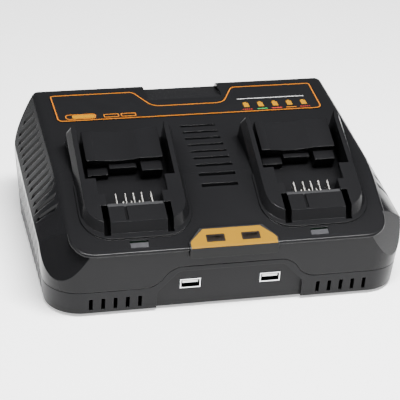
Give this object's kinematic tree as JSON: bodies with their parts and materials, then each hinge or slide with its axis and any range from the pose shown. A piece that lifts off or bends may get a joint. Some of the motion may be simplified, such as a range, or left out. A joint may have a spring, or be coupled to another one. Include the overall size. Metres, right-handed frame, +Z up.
{
  "type": "battery charger",
  "caption": "Low sloped charging station with side-by-side bays for slide-on tool batteries, USB outlets in the front wall and vents in the deck and side facets.",
  "frame": {"origin": "on the floor under the middle of the whole body", "axes": "+X to the right seen from the front, +Y to the back, +Z up"},
  "size_m": [0.263, 0.193, 0.1023],
  "materials": {
    "cover_plastic": "fine textured moulding",
    "base_plastic": "fine textured moulding",
    "label_film": "printed satin film with an orange outline",
    "badge_plastic": "printed yellow plate with a dark folded flap",
    "foot_rubber": "soft matt rubber",
    "gland_rubber": "soft matt rubber",
    "screw_steel": "zinc plated",
    "board_laminate": "green solder mask",
    "outlet_steel": "bright plated sheet steel",
    "outlet_insulator": "white moulding",
    "contact_plating": "gold plated",
    "terminal_plastic": "glass filled moulding",
    "blade_nickel": "nickel plated",
    "lens_smoke": "smoked translucent window",
    "sink_aluminium": "mill finish",
    "ferrite": "sintered ferrite",
    "winding_tape": "yellow winding tape",
    "capacitor_sleeve": "shrink sleeve",
    "chip_epoxy": "moulded epoxy",
    "fuse_glass": "glass tube"
  },
  "bodies": {
    "root": {"top_cover": "cover_plastic", "base_tray": "base_plastic", "deck_label": "label_film", "port_badge": "badge_plastic", "rubber_feet": "foot_rubber", "case_screws": "screw_steel", "main_board": "board_laminate", "usb_board": "board_laminate", "usb_shell_left": "outlet_steel", "usb_tongue_left": "outlet_insulator", "usb_contacts_left": "contact_plating", "terminal_block_left": "terminal_plastic", "terminal_blades_left": "blade_nickel", "lamp_lens_left": "lens_smoke", "lamp_board_left": "board_laminate", "heatsink_left": "sink_aluminium", "usb_shell_right": "outlet_steel", "usb_tongue_right": "outlet_insulator", "usb_contacts_right": "contact_plating", "terminal_block_right": "terminal_plastic", "terminal_blades_right": "blade_nickel", "lamp_lens_right": "lens_smoke", "lamp_board_right": "board_laminate", "heatsink_right": "sink_aluminium", "transformer_core": "ferrite", "transformer_winding": "winding_tape", "bulk_capacitor": "capacitor_sleeve", "output_capacitors": "capacitor_sleeve", "power_transistors": "chip_epoxy", "filter_choke": "ferrite", "bridge_rectifier": "chip_epoxy", "mains_fuse": "fuse_glass", "cord_gland": "gland_rubber"}
  },
  "joints": []
}
